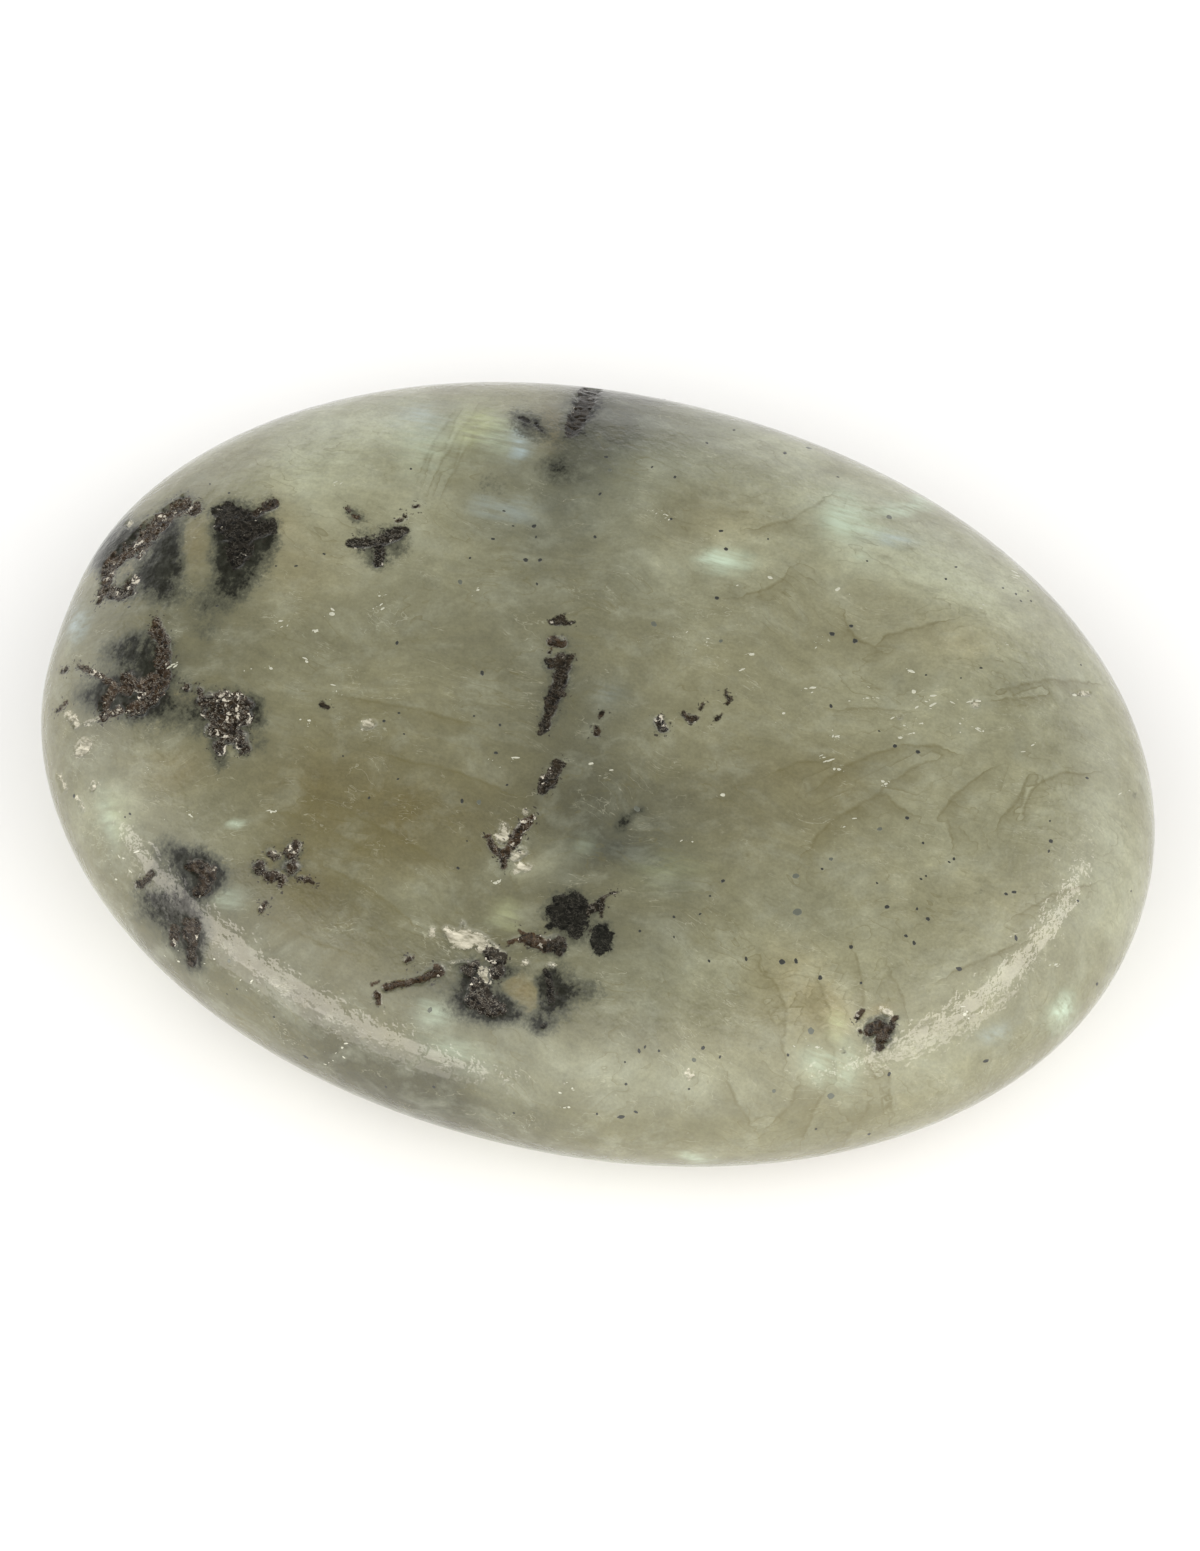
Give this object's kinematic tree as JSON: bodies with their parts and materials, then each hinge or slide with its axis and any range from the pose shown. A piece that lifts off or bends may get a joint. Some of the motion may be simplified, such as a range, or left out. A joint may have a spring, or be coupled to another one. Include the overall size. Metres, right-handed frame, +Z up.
{
  "type": "labradorite pocket stone",
  "caption": "Polished oval pebble of grey-green labradorite, pillow-shaped, with dark pitted mineral clots, to carry in a pocket and rub with the thumb.",
  "frame": {"origin": "on the resting face under the middle of the stone, where its box has the centre of its base", "axes": "+X along the stone's long axis, +Z up from the resting face through the crown"},
  "size_m": [0.0498, 0.0372, 0.0127],
  "materials": {
    "labradorite": "polished"
  },
  "bodies": {
    "root": {"stone": "labradorite"}
  },
  "joints": []
}
